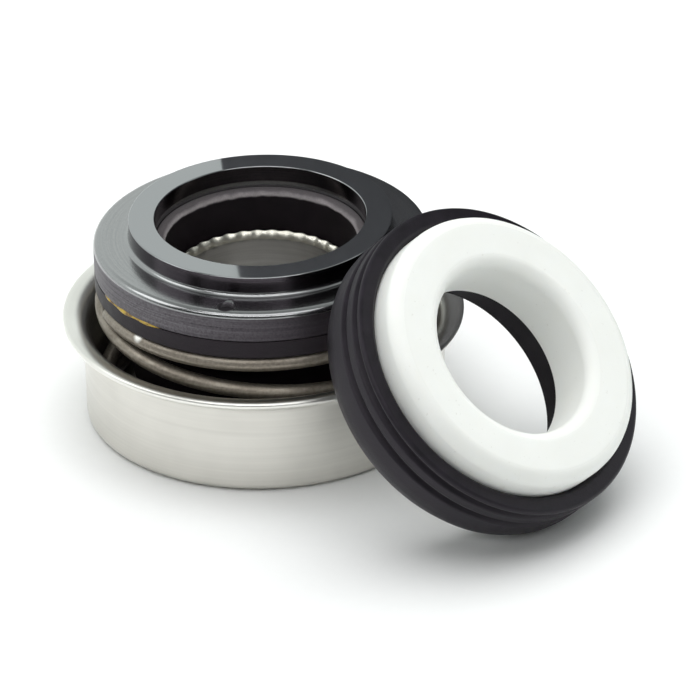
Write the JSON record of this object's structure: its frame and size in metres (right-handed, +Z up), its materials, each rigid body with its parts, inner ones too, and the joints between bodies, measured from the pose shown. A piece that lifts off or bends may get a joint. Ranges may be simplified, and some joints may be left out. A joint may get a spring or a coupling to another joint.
{
  "type": "pool pump shaft seal",
  "caption": "Mechanical shaft seal for a pool pump: flanged metal cup with coil spring, rubber bellows and sprung carbon face ring, beside its ceramic seat ring in a ribbed rubber boot.",
  "frame": {"origin": "on the axis of the seal head, in the plane of its base, which both halves stand on", "axes": "+Z up along the head's axis, out of its carbon face; +X to the right and +Y away, seen from the front"},
  "size_m": [0.0578, 0.0555, 0.0279],
  "materials": {
    "cup_steel": "satin",
    "sleeve_steel": "satin",
    "bellows_rubber": "matte",
    "spring_wire": "satin",
    "carbon": "satin",
    "white_ceramic": "satin",
    "boot_rubber": "matte"
  },
  "bodies": {
    "housing": {"flanged_cup": "cup_steel", "inner_sleeve": "sleeve_steel", "rubber_bellows": "bellows_rubber", "coil_spring": "spring_wire", "ceramic_seat": "white_ceramic", "seat_boot": "boot_rubber"},
    "face_ring": {"carbon_ring": "carbon"}
  },
  "joints": [
    {"name": "face_travel", "type": "slide", "parent": "housing", "child": "face_ring", "axis": [0, 0, 1], "range_m": [-0.005, 0], "stiffness_N_per_m": 1460, "deforming": ["coil_spring", "rubber_bellows"]}
  ]
}
